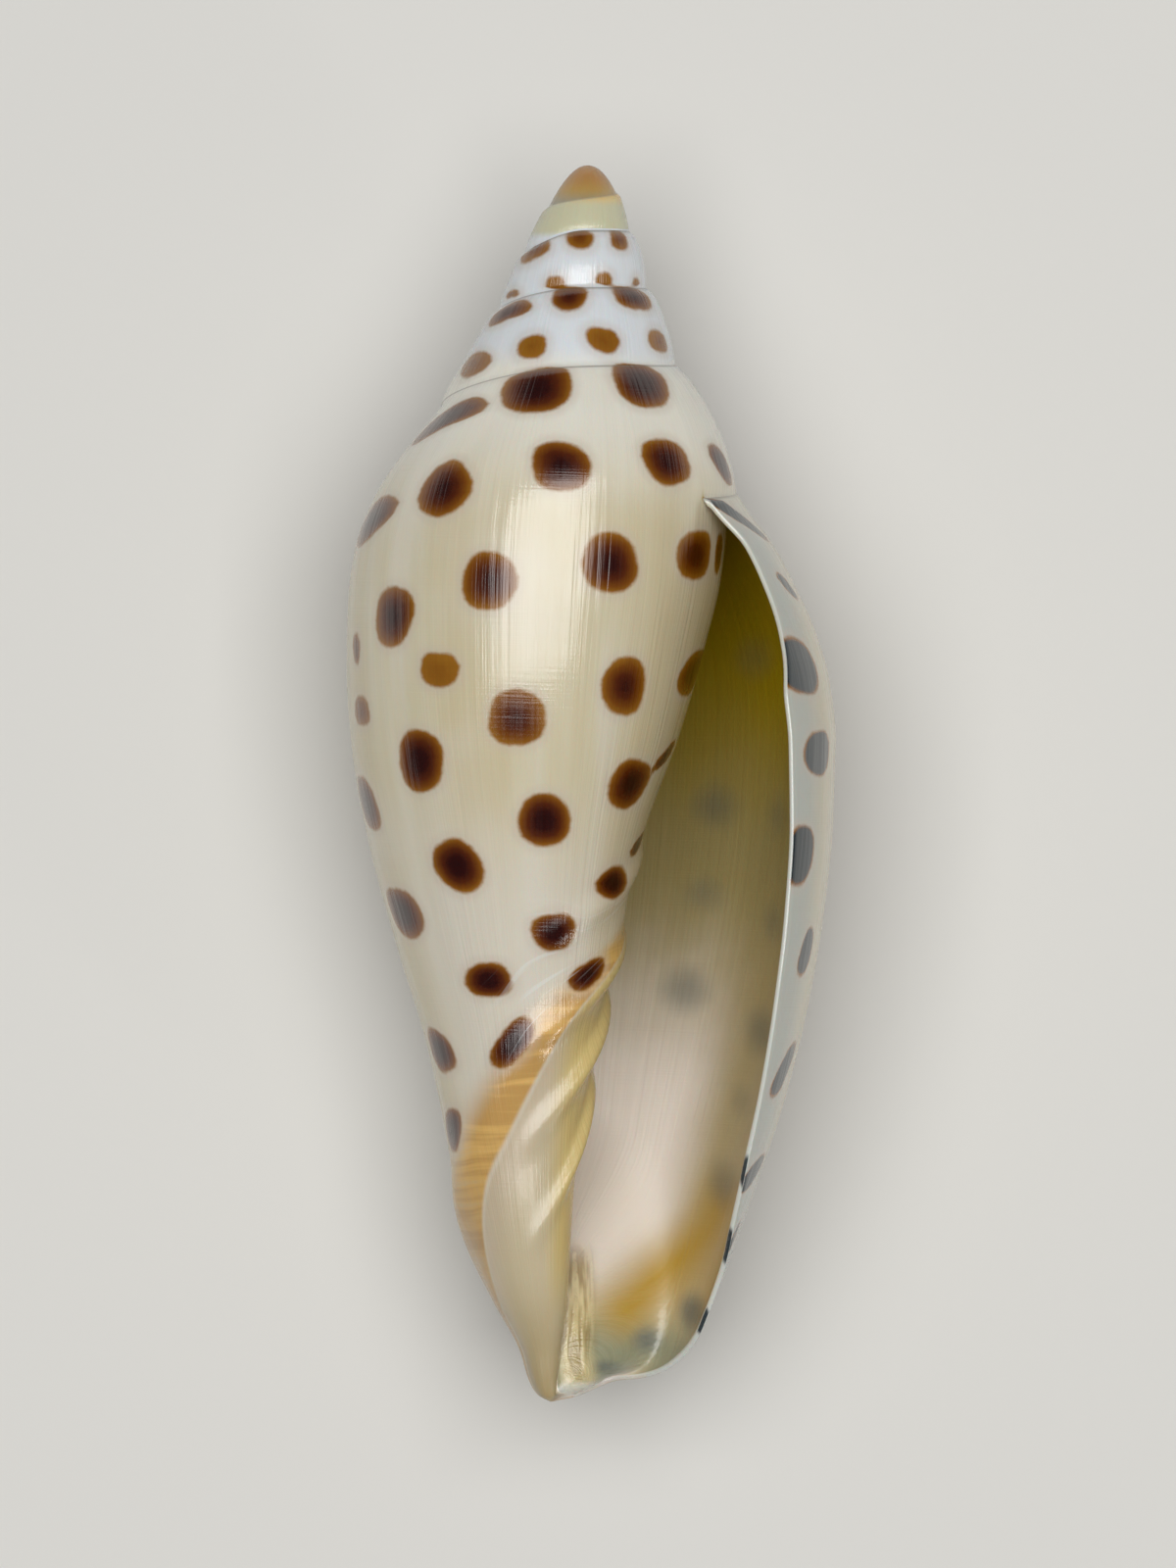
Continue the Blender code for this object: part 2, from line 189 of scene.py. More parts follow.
plainSutureDrop = smoothCurve(sutureDrops)
spireRadius = smoothCurve(spireRadii)
profileCurves = [smoothCurve([(row[0], row[k + 1]) for row in profiles]) for k in range(4)]
lipShare = smoothCurve([(row, share) for row, share, _ in lipEdge])
lipSetBack = smoothCurve([(row, degrees) for row, _, degrees in lipEdge])
cavityFloor = smoothCurve(cavityFloors)
fascioleDrop = smoothCurve(fasciole["drops"])


def sutureDrop(turn):
    drop = plainSutureDrop(turn)
    lower = plainSutureDrop(turn - 360)
    return mix(drop, lower, ease(1 - (shell["apexTurn"] - turn) / shell["apexTaper"]))


def profileRadius(turn, share):
    last = firstProfileTurn + 3 * profileStep
    at = np.clip(turn, firstProfileTurn, last)
    r = [curve(share) for curve in profileCurves]
    s = [(b - a) / profileStep for a, b in zip(r, r[1:])]

    def between(a, b):
        same = a * b > 0
        return np.where(same, 2 * a * b / np.where(same, a + b, 1.0), 0.0)

    tangents = [s[0], between(s[0], s[1]), between(s[1], s[2]), s[2]]
    radius = np.zeros(np.broadcast(turn, share).shape)
    for k in range(3):
        t = (at - firstProfileTurn) / profileStep - k
        here = (t >= 0) & ((t < 1) | (k == 2))
        bend = (2 * t**3 - 3 * t**2) * (r[k] - r[k + 1])
        lean = profileStep * ((t**3 - 2 * t**2 + t) * tangents[k] + (t**3 - t**2) * tangents[k + 1])
        radius = np.where(here, r[k] + bend + lean, radius)
    return radius * shell["growthPerTurn"] ** ((at - turn) / 360)


def shareAt(turn, drop):
    top = sutureDrop(turn)
    return np.clip((drop - top) / (shell["length"] - top), 0.0, 1.0)


def fascioleRise(turn, drop):
    height = fasciole["height"] * ease((turn - fasciole["start"]) / fasciole["fade"])
    return height * bell(drop - fascioleDrop(turn), fasciole["halfWidth"])


def foldRise(turn, drop):
    shrink = shell["growthPerTurn"] ** ((folds["turn"] - turn) / 360)
    strength = ease((turn - folds["start"]) / folds["fade"])
    ridges = [h * bell(drop - at * shrink, folds["halfWidth"]) for at, h in folds["dropsAndHeights"]]
    return strength * sum(ridges)


def bandRadius(turn, drop):
    # a spire whorl between its two sutures, standing out a little below the upper one
    top, foot = sutureDrop(turn), sutureDrop(turn - 360)
    across = np.clip((drop - top) / np.maximum(foot - top, 1e-6), 0.0, 1.0)
    swell = shell["swell"] * 4 * across * (1 - across)
    height = np.minimum(1.0, (foot - top) / shell["tallestLedgeBand"])
    ledge = shell["ledge"] * height * np.minimum(across / shell["ledgeWidth"], 1.0) * (1 - across)
    return spireRadius(drop) * (1 + swell) + ledge


def outerRadius(turn, drop):
    radius = profileRadius(turn, shareAt(turn, drop)) + fascioleRise(turn, drop) + foldRise(turn, drop)
    inBand = ease((sutureDrop(turn - 360) - drop) / shell["bandFoot"] + 1)
    share = ease((turn - shell["bandStart"]) / shell["bandFade"]) * inBand
    return mix(radius, bandRadius(turn, drop), share)


def innerRadius(turn, drop):
    innerTurn = turn + 360
    bandEnd = 1 - ease((innerTurn - 360) / fasciole["fade"])
    radius = profileRadius(innerTurn, shareAt(innerTurn, drop))
    return radius + fascioleRise(innerTurn, drop) * bandEnd + foldRise(innerTurn, drop)


def place(radius, drop, turn):
    # a point of the shell as it lies, apex toward +Y and aperture up
    angle = np.radians(shell["lipForward"] - turn)
    bow = shell["axisBow"] * np.sin(np.pi * drop / shell["length"])
    return np.stack([radius * np.cos(angle) - bow, -drop + 0 * angle, radius * np.sin(angle)], -1)


def lipFade(turn, reach):
    return np.maximum(0.0, 1 - turn / reach) ** 2


def bodyPlace(turn, rowShare):
    # a row of the body whorl at a turn, drawn back toward the lip's edge: its real turn, drop and radius
    share = mix(rowShare, lipShare(rowShare), lipFade(turn, shell["notchReach"]))
    realTurn = turn + lipSetBack(rowShare) * lipFade(turn, 360)
    drop = mix(sutureDrop(realTurn), shell["length"], share)
    return realTurn, drop, outerRadius(realTurn, drop)


bandShare = float((sutureDrop(0) - sutureDrop(360)) / (shell["length"] - sutureDrop(360)))


def rowShares():
    # the rows of the body whorl, as shares of the way down
    top = bandShare * (np.arange(steps["band"] + 1) / steps["band"]) ** bunching["band"]
    rest = np.arange(1, steps["body"] - steps["band"] + 1) / (steps["body"] - steps["band"])
    rest = (1 + bunching["body"]) * rest - bunching["body"] * rest**2
    return np.concatenate([top, bandShare + (1 - bandShare) * rest])


shares = rowShares()
print("growth curves ready,", len(shares), "rows on the body")


def innerWall(turn, share):
    # the inner side of the outer wall, and the hollow's top and bottom drop, at one depth
    h = hollowShape
    inward = float(ease(turn / h["wallTurn"]))
    thickness = mix(shell["lipThickness"], shell["wallThickness"], inward)
    top = float(sutureDrop(turn)) + h["topWalls"] * thickness
    floor = float(cavityFloor(turn))
    bottom = mix(float(sutureDrop(turn + 360)), shell["length"], floor) - h["bottomGap"]
    inNotch = ease((share - h["notchShare"]) / h["notchFade"])
    edge = mix(shell["lipThickness"], shell["notchThickness"], inNotch)
    wall = mix(edge, shell["wallThickness"], inward)
    realTurn, drop, radius = bodyPlace(turn, share * floor)
    fall = outerRadius(realTurn, drop + h["slopeStep"]) - radius
    slant = np.hypot(fall, h["slopeStep"])
    clear = h["gap"] * (h["gapGrowth"] * (share / bandShare) ** h["gapPower"])
    radius = radius - wall * h["slopeStep"] / slant
    drop = np.clip(drop + wall * fall / slant, top + clear, bottom)
    rounding = h["roundingAtLip"] + h["roundingInside"] * min(turn / h["roundingTurn"], 1.0)
    close = ease((1 - share) / rounding)
    realTurn = mix(turn, realTurn, close)
    inner = innerRadius(realTurn, drop)
    radius = inner + np.maximum(radius - inner, np.minimum(clear, h["widestGap"])) * close
    return realTurn, drop, radius, top, bottom


def cavityRing(turn):
    # one ring of the hollow: down the outer wall, then up the columella, as points and marks
    realTurn, drop, radius, top, bottom = innerWall(turn, shares[1:-1])
    upShare = (shares[steps["band"] + 1:-1][::-1] - bandShare) / (1 - bandShare)
    columellaDrop = mix(top, bottom, upShare)
    turns = np.concatenate([[turn], realTurn, [turn], np.full(len(columellaDrop), turn)])
    drops = np.concatenate([[top], drop, [bottom], columellaDrop])
    radii = innerRadius(turns, drops)
    radii[1:1 + len(radius)] = radius
    side = np.concatenate([[2], np.ones(len(radius)), [2], np.full(len(columellaDrop), 2)])
    return place(radii, drops, turns), np.where(side == 2, turns + 360, turns), drops, side


def addGrid(mesh, columns, rows, points, *markValues):
    # a grid of faces, each corner moved to its point and marked; arrays are indexed [column, row]
    made = bmesh.ops.create_grid(mesh, x_segments=columns, y_segments=rows, size=0.5)["verts"]
    layers = [mesh.verts.layers.float[name] for name in meshMarks]
    for vert in made:
        at = round((vert.co.x + 0.5) * columns), round((vert.co.y + 0.5) * rows)
        vert.co = points[at]
        for layer, values in zip(layers, markValues):
            vert[layer] = values[at]


def turnGrid(firstTurn, count, rows):
    # the turn and the row's value at each corner of a grid that has one column for each step of turn
    return np.meshgrid(firstTurn + np.arange(count + 1) * turnStep, rows, indexing="ij")


def arcBack(turn, radius):
    # how far round the shell the lip is, in millimetres
    return np.maximum(turn, 0) * np.pi / 180 * np.maximum(radius, shell["leastArcRadius"])


def addBody(mesh):
    # the body whorl, from the lip back to where the lip began a turn ago
    turn, share = turnGrid(0.0, steps["turn"], shares)
    realTurn, drop, radius = bodyPlace(turn, share)
    top, foot = sutureDrop(turn[:, 0]), sutureDrop(0)
    realTurn[:, 0], drop[:, 0], radius[:, 0] = turn[:, 0], top, spireRadius(top)
    realTurn[-1, steps["band"]], drop[-1, steps["band"]] = 360.0, foot
    radius[-1, steps["band"]] = spireRadius(foot)
    radius[:, -1], drop[:, -1] = 0.0, shell["length"]
    body = place(radius, drop, realTurn)
    addGrid(mesh, steps["turn"], steps["body"], body, realTurn, drop, 0 * turn, arcBack(turn, radius))
    print("body whorl", len(mesh.verts))
    return body


def addSpire(mesh, body):
    # one long strip whose lower edge lies on the upper edge of the turn after it
    count = round((shell["apexTurn"] - 360) / turnStep)
    turn, row = turnGrid(360, count, shares[:steps["band"] + 1] / bandShare)
    drop = mix(sutureDrop(turn), sutureDrop(turn - 360), row)
    radius = bandRadius(turn, drop)
    radius[:, 0], radius[:, -1] = spireRadius(drop[:, 0]), spireRadius(drop[:, -1])
    strip = place(radius, drop, turn)
    strip[0] = body[-1, :steps["band"] + 1]
    marked = turn.copy()
    marked[:, -1] -= 360
    addGrid(mesh, count, steps["band"], strip, marked, drop, 0 * turn, 0 * turn + farFromLip)
    print("spire", len(mesh.verts))


def addDome(mesh):
    # the rounded top of the first whorl
    rings = 1 - np.arange(steps["dome"] + 1) / steps["dome"]
    turn, ring = turnGrid(shell["apexTurn"] - 360, steps["turn"], rings)
    top = sutureDrop(turn)
    drop = ring**2 * top
    dome = place(ring * spireRadius(top), drop, turn)
    addGrid(mesh, steps["turn"], steps["dome"], dome, turn, drop, 0 * turn, 0 * turn + farFromLip)


def addRim(mesh, body):
    # the rounded edge of the lip, from its outside to its inside
    outside = body[0]
    inside = np.concatenate([outside[:1], cavityRing(0.0)[0][1:steps["body"]], outside[-1:]])
    forward = outside - body[1]
    across = inside - outside
    width = np.linalg.norm(across, axis=1, keepdims=True)
    unit = across / np.maximum(width, 1e-9)
    forward -= unit * (forward * unit).sum(1, keepdims=True)
    forward /= np.maximum(np.linalg.norm(forward, axis=1, keepdims=True), 1e-9)
    bulge = forward * width * shell["rimBulge"]
    angle = np.pi * np.arange(steps["rim"] + 1) / steps["rim"]
    rim = np.stack([outside + across * (1 - np.cos(a)) / 2 + bulge * np.sin(a) for a in angle])
    turn = np.tile(lipSetBack(shares), (steps["rim"] + 1, 1))
    drop = np.tile(-outside[:, 1], (steps["rim"] + 1, 1))
    side = np.tile(np.linspace(0, 1, steps["rim"] + 1)[:, None], (1, len(shares)))
    addGrid(mesh, steps["rim"], steps["body"], rim, turn, drop, side, 0 * turn)
    return inside


def addHollow(mesh, body, inside):
    # the hollow behind the lip, ring after ring, closed at its deep end
    depth = np.arange(steps["cavity"] + 1) / steps["cavity"]
    depth = shell["cavityTurn"] * mix(depth, depth**2, bunching["cavity"])
    columella = body[-1, steps["band"] + 1:-1][::-1]
    outerRows = steps["body"] + 1
    rings = []
    for at in depth:
        ring = cavityRing(float(at))
        if at == 0:
            ring[0][:outerRows], ring[0][outerRows:] = inside, columella
        rings.append([np.concatenate([values, values[:1]]) for values in ring])
    points, turns, drops, sides = (np.array(values) for values in zip(*rings))
    columns = points.shape[1]
    back = arcBack(np.repeat(depth[:, None], columns, 1), np.hypot(points[..., 0], points[..., 2]))
    addGrid(mesh, steps["cavity"], columns - 1, points, turns, drops, sides, back)

    last = points[-1]
    innerSide = np.concatenate([np.repeat(last[:1], steps["band"] + 1, 0),
                                last[outerRows:-1][::-1], last[steps["body"]][None]])
    end = np.stack([last[:outerRows], innerSide])
    endTurn = np.full(end.shape[:2], shell["cavityTurn"])
    addGrid(mesh, 1, steps["body"], end, endTurn, -end[..., 1], 0 * endTurn + 1, 0 * endTurn + hollowEnd)
    print("lip and hollow", len(mesh.verts))


def settle(mesh):
    # the grids joined, and the shell laid on its flat spot at the origin, in metres
    bmesh.ops.remove_doubles(mesh, verts=mesh.verts, dist=joins["points"])
    bmesh.ops.dissolve_degenerate(mesh, dist=joins["slivers"], edges=mesh.edges)
    bmesh.ops.recalc_face_normals(mesh, faces=mesh.faces)
    sideways = [v.co.x for v in mesh.verts]
    along = [v.co.y for v in mesh.verts]
    low = min(v.co.z for v in mesh.verts) + shell["flatDepth"]
    middle = Vector(((min(sideways) + max(sideways)) / 2, (min(along) + max(along)) / 2, low))
    bmesh.ops.translate(mesh, verts=mesh.verts, vec=-middle)
    for vert in mesh.verts:
        vert.co.z = max(vert.co.z, 0.0)
    bmesh.ops.scale(mesh, verts=mesh.verts, vec=(mm, mm, mm))


def makeShell():
    mesh = bmesh.new()
    for name in meshMarks:
        mesh.verts.layers.float.new(name)
    body = addBody(mesh)
    addSpire(mesh, body)
    addDome(mesh)
    addHollow(mesh, body, addRim(mesh, body))
    settle(mesh)
    data = bpy.data.meshes.new("voluteShell")
    mesh.to_mesh(data)
    mesh.free()
    data.shade_smooth()
    piece = bpy.data.objects.new("voluteShell", data)
    bpy.context.scene.collection.objects.link(piece)
    return piece


piece = makeShell()
print("shell mesh", len(piece.data.vertices), "points,", len(piece.data.polygons), "faces")


# The photograph's two views of the shell. Pixels are those of its 1200 x 1600 frame, and the
# front view leans by 38 of them over 1260.
frontView = {"apexPixel": (860, 262), "pixelsPerMm": 14.0, "lean": math.atan2(38, 1260), "facing": 1}
backView = {"apexPixel": (372, 66), "pixelsPerMm": 14.2, "lean": 0.0, "facing": -1}

# Spots: centre x and y, length, width, turn of the long way in degrees, darkness.
frontSpots = [
    (805, 349, 24, 14, 60, 0.45), (852, 338, 29, 24, -8, 0.45), (892, 339, 25, 18, 80, 0.45),
    (826, 386, 21, 19, 0, 0.15), (876, 382, 17, 19, 0, 0.15), (909, 385, 15, 8, 90, 0.15),
    (782, 395, 14, 9, 20, 0.4), (778, 413, 40, 20, 35, 0.75), (841, 399, 38, 30, 0, 0.7),
    (907, 398, 36, 29, -15, 0.8), (744, 466, 30, 24, 60, 0.35), (803, 450, 30, 27, 0, 0.25),
    (875, 443, 36, 27, -8, 0.25), (932, 443, 24, 18, 90, 0.3),
    (716, 522, 60, 23, 45, 1.0), (808, 493, 73, 51, 10, 1.0), (915, 487, 56, 50, -5, 1.0),
    (996, 568, 42, 16, -75, 1.0), (641, 624, 58, 24, 65, 1.0), (715, 595, 56, 52, 55, 0.85),
    (833, 572, 62, 50, 0, 0.9), (940, 567, 50, 46, -70, 0.85),
    (663, 723, 61, 40, 80, 0.9), (760, 688, 62, 55, 80, 0.8), (883, 670, 61, 58, 90, 0.85),
    (969, 661, 50, 36, 90, 0.75), (1007, 659, 45, 9, 90, 0.6),
    (710, 777, 40, 38, 0, 0.2), (630, 818, 33, 16, 90, 0.45), (618, 755, 34, 8, 90, 0.6),
    (690, 869, 63, 47, 85, 0.95), (788, 826, 61, 57, 90, 0.7), (897, 794, 59, 46, 90, 0.75),
    (967, 779, 50, 24, 80, 0.7), (635, 912, 58, 20, -85, 0.9),
    (728, 975, 54, 50, -60, 1.0), (816, 929, 55, 53, 0, 1.0), (903, 892, 51, 40, 75, 0.9),
    (948, 864, 34, 9, 70, 0.9), (672, 1023, 55, 32, -80, 1.0), (759, 1091, 48, 38, 0, 1.0),
    (826, 1042, 46, 39, 10, 1.0), (885, 992, 36, 30, 50, 1.0), (918, 953, 28, 9, 70, 1.0),
    (709, 1163, 48, 23, -80, 1.0), (783, 1155, 62, 31, 50, 1.0), (860, 1085, 44, 24, 45, 1.0),
    (722, 1244, 48, 15, 85, 1.0), (1011, 621, 62, 13, -52, 1.0), (1076, 692, 32, 9, -65, 0.9),
    (1073, 773, 60, 42, 90, 1.0), (1093, 861, 46, 28, 90, 1.0), (1075, 964, 66, 26, 88, 1.0),
    (1088, 1062, 50, 13, 85, 1.0), (1065, 1182, 60, 13, 80, 1.0), (1027, 1287, 44, 13, 70, 1.0),
    (1004, 1360, 42, 10, 65, 1.0),
]
backSpots = [
    (338, 143, 20, 18, 0, 0.5), (381, 138, 24, 18, 0, 0.5), (415, 135, 16, 12, 90, 0.5),
    (306, 205, 22, 14, 50, 0.7), (354, 192, 33, 28, 0, 0.75), (412, 184, 29, 26, 0, 0.75),
    (279, 257, 20, 14, 60, 0.5), (313, 241, 27, 21, 0, 0.5), (367, 231, 24, 16, 0, 0.15),
    (418, 239, 17, 11, 0, 0.3), (451, 233, 16, 10, -60, 0.4),
    (291, 286, 56, 42, 30, 0.95), (376, 272, 57, 39, 0, 0.95), (454, 262, 38, 37, -20, 0.9),
    (224, 373, 50, 18, 60, 0.9), (276, 357, 41, 36, 90, 0.6), (360, 343, 45, 40, 0, 0.6),
    (446, 328, 40, 38, 0, 0.6), (499, 320, 36, 16, -70, 0.6), (174, 445, 60, 22, 50, 1.0),
    (266, 418, 93, 60, 25, 1.0), (400, 404, 76, 70, 0, 1.0), (506, 392, 69, 52, -65, 1.0),
    (240, 477, 52, 20, 10, 0.15), (112, 584, 50, 14, 70, 1.0), (193, 552, 58, 56, 0, 0.9),
    (322, 534, 76, 56, 0, 0.9), (463, 517, 57, 56, 0, 0.9), (562, 501, 64, 39, -75, 0.9),
    (278, 620, 52, 44, 0, 0.6), (123, 654, 48, 35, 80, 0.8), (389, 685, 85, 62, 0, 0.95),
    (512, 651, 65, 58, 90, 0.85),
    (251, 714, 74, 66, 0, 0.95), (149, 737, 74, 52, 85, 0.95), (94, 767, 60, 14, 88, 1.0),
    (512, 740, 47, 45, 0, 0.25), (390, 781, 63, 46, 0, 0.75), (249, 812, 56, 47, 0, 0.8),
    (144, 848, 63, 39, 90, 1.0), (509, 834, 67, 46, 90, 0.95), (393, 883, 82, 64, 0, 1.0),
    (264, 919, 72, 62, 0, 1.0), (160, 960, 76, 48, 88, 1.0), (485, 964, 56, 37, 85, 1.0),
    (384, 1026, 72, 58, 0, 1.0), (178, 1039, 40, 38, 0, 0.5), (465, 1052, 48, 22, 60, 1.0),
    (273, 1077, 74, 62, 0, 1.0), (376, 1116, 56, 38, 0, 1.0), (446, 1132, 50, 24, 60, 1.0),
    (189, 1130, 67, 48, 85, 1.0), (273, 1186, 61, 48, 0, 1.0), (371, 1197, 59, 50, 20, 1.0),
    (460, 1170, 40, 12, 75, 1.0), (211, 1245, 60, 20, -75, 1.0), (282, 1268, 56, 50, 0, 1.0),
    (398, 1248, 80, 20, 60, 1.0), (326, 1312, 34, 14, 0, 1.0),
]
# How a spot is found and laid on the shell: a view's ray moves in by steps until it meets the
# shell well enough, and the spot covers points within reach that face its way.
spotLimits = {
    "step": 0.03,
    "rayHeight": 60,
    "leastFacing": 0.22,
    "reach": 9.0,
    "turnReach": 150,
    "faceOn": 0.3,
    "leastAcross": 0.33,
    "leastUp": 0.55,
    "cornerPower": 2.35,
}
# What the marks say where a spot, a line or the seam is out of reach.
outOfReach = {"spot": 20.0, "ring": 4.0, "line": 50.0, "seam": 9.0}


def viewAxes(view):
    # which way is right and up in a view, in the shell's frame
    lean = view["lean"]
    right = np.array([view["facing"] * math.cos(lean), math.sin(lean), 0.0])
    up = np.array([-view["facing"] * math.sin(lean), math.cos(lean), 0.0])
    return right, up, np.array([0.0, 0.0, view["facing"]])


def readMesh(piece):
    data = piece.data
    count = len(data.vertices)
    points, normals = np.empty(count * 3), np.empty(count * 3)
    data.vertices.foreach_get("co", points)
    data.vertices.foreach_get("normal", normals)
    marks = {}
    for name in meshMarks:
        marks[name] = np.empty(count)
        data.attributes[name].data.foreach_get("value", marks[name])
    return points.reshape(-1, 3) / mm, normals.reshape(-1, 3), marks


def addMark(piece, name, values):
    layer = piece.data.attributes.new(name, "FLOAT", "POINT")
    layer.data.foreach_set("value", values.astype(np.float32))


def inView(points, apex, view):
    # where the view shows the points, in millimetres right of the apex and below it
    right, up, _ = viewAxes(view)
    away = points - apex
    return np.stack([away @ right, -(away @ up)], -1)


def spotPlace(tree, apex, view, x, y, sideOf):
    # where a view's ray meets the shell, moved in from the outline until it does
    right, up, toward = viewAxes(view)
    across = (x - view["apexPixel"][0]) / view["pixelsPerMm"]
    down = (y - view["apexPixel"][1]) / view["pixelsPerMm"]
    middleAcross = math.tan(-view["lean"]) * down * view["facing"]
    for inward in np.arange(0, 1, spotLimits["step"]):
        start = apex + right * mix(across, middleAcross, inward) - up * down
        start[2] = 0
        start += toward * spotLimits["rayHeight"]
        hit, normal, face, _ = tree.ray_cast(Vector(start), Vector(-toward))
        if hit is not None and abs(normal.z) > spotLimits["leastFacing"] and sideOf[face] != 1:
            return np.array(hit), np.array(normal), face
    return None


def spotSize(a, b, number):
    # how far out in a spot a point is, 1 at its edge; a rounded box, each with its own lobes
    power = spotLimits["cornerPower"]
    angle = np.arctan2(b, a)
    lobes = 1 + 0.035 * np.sin(2 * angle + number * 2.4) + 0.03 * np.sin(3 * angle + number * 1.7)
    return (abs(a) ** power + abs(b) ** power) ** (1 / power) * lobes


def spotAxes(normal, right, up):
    # around and along the shell at a spot, the way that right and up go in the view
    around = np.cross([0.0, 1.0, 0.0], normal)
    around /= np.linalg.norm(around)
    along = np.cross(normal, around)
    return -around if around @ right < 0 else around, -along if along @ up < 0 else along


def paintSpots(piece):
    # each point's distance to the nearest spot's edge, in millimetres, below zero inside it
    points, normals, marks = readMesh(piece)
    apex = points[points[:, 1].argmax()].copy()
    corners = [tuple(p.vertices) for p in piece.data.polygons]
    tree = BVHTree.FromPolygons([tuple(p) for p in points], corners)
    sideOf = [round(marks["side"][c[0]]) for c in corners]
    distance = np.full(len(points), outOfReach["spot"])
    ring = np.full(len(points), outOfReach["ring"])
    darkness = np.ones(len(points))
    number = 0
    for view, spots in ((frontView, frontSpots), (backView, backSpots)):
        right, up, _ = viewAxes(view)
        for x, y, length, width, slant, dark in spots:
            number += 1
            found = spotPlace(tree, apex, view, x, y, sideOf)
            if found is None:
                print("spot off the shell", x, y)
                continue
            centre, normal, face = found
            turn = marks["turn"][corners[face][0]]
            around, along = spotAxes(normal, right, up)
            away = points - centre
            near = np.linalg.norm(away, axis=1) < spotLimits["reach"]
            sameWhorl = abs(marks["turn"] - turn) < spotLimits["turnReach"]
            facing = (normals @ normal) * np.where(marks["side"] == 1, -1, 1)
            ids = np.where(near & sameWhorl & (facing > spotLimits["faceOn"]))[0]
            a, b = away[ids] @ around, away[ids] @ along
            shownA = a * max(around @ right, spotLimits["leastAcross"])
            shownB = b * max(along @ up, spotLimits["leastUp"])
            c, s = math.cos(math.radians(slant)), math.sin(math.radians(slant))
            halfLong = length / 2 / view["pixelsPerMm"]
            halfWide = width / 2 / view["pixelsPerMm"]
            size = spotSize((shownA * c + shownB * s) / halfLong,
                            (shownB * c - shownA * s) / halfWide, number)
            flat = np.maximum(np.hypot(a, b), 1e-4)
            signed = np.maximum(flat * (1 - 1 / np.maximum(size, 1e-3)), -halfLong)
            nearer = signed < distance[ids]
            distance[ids[nearer]] = signed[nearer]
            ring[ids[nearer]] = np.minimum(size[nearer], outOfReach["ring"])
            darkness[ids[nearer]] = dark
    addMark(piece, "spot", distance)
    addMark(piece, "ring", ring)
    addMark(piece, "dark", darkness)
    return number


# Spots that show through the inner wall: centre x and y, width, height, strength.
ghosts = [
    (1030, 762, 44, 50, 0.3), (990, 915, 52, 54, 0.55), (980, 1005, 46, 44, 0.4),
    (960, 1104, 56, 52, 0.6), (1055, 925, 22, 50, 0.3), (1050, 1035, 26, 50, 0.35),
    (1037, 1147, 36, 58, 0.6), (1017, 1217, 24, 40, 0.3), (998, 1300, 36, 56, 0.6),
    (967, 1432, 32, 44, 1.0), (921, 1460, 36, 34, 0.95), (877, 1487, 34, 18, 0.8),
]
# Dark marks where the spots reach the lip's edge: centre x and y, width, height.
edgeMarks = [(1021, 1287, 16, 40), (1002, 1361, 16, 42), (976, 1437, 16, 34)]


def nearestMark(points, apex, marks):
    # how far out in its nearest front view mark each point is, 1 at the edge, and which mark that is
    shown = inView(points, apex, frontView) * frontView["pixelsPerMm"] + frontView["apexPixel"]
    sizes = [np.hypot((shown[:, 0] - x) / width * 2, (shown[:, 1] - y) / height * 2)
             for x, y, width, height, *_ in marks]
    return np.min(sizes, axis=0), np.argmin(sizes, axis=0)


# Lines on the shell, read from one view: points in pixels.
shellLines = {
    "gold": (frontView, [(1000, 1322), (985, 1348), (955, 1377), (925, 1402), (900, 1428)]),
    "canal": (frontView, [(846, 1372), (848, 1425), (846, 1475), (853, 1508)]),
    "scar": (backView, [(281, 490), (269, 560), (276, 670), (226, 750), (240, 845), (254, 884),
                        (282, 992), (313, 1044)]),
    "repair": (backView, [(366, 372), (378, 445), (376, 469), (352, 500), (330, 560), (369, 717),
                          (378, 749), (372, 800)]),
}


def lineDistance(points, apex, view, line):
    # how far each point is from a line, as the view shows it
    shown = inView(points, apex, view)
    line = (np.array(line, float) - view["apexPixel"]) / view["pixelsPerMm"]
    best = np.full(len(points), outOfReach["line"])
    for a, b in zip(line, line[1:]):
        along = b - a
        t = np.clip((shown - a) @ along / (along @ along), 0, 1)
        off = shown - a - t[:, None] * along
        best = np.minimum(best, np.linalg.norm(off, axis=1))
    return best


# The fasciole's colour: the first and last turn that it has, and how far above and below it
# places are still marked, in its widths.
bandLimits = {"firstTurn": 60, "lastTurn": 420, "lowest": -3.0, "highest": 4.0}
# The columella counts as inside the hollow from this turn, over this many degrees.
columellaStart, columellaFade = 398, 20
middleHeight = 14


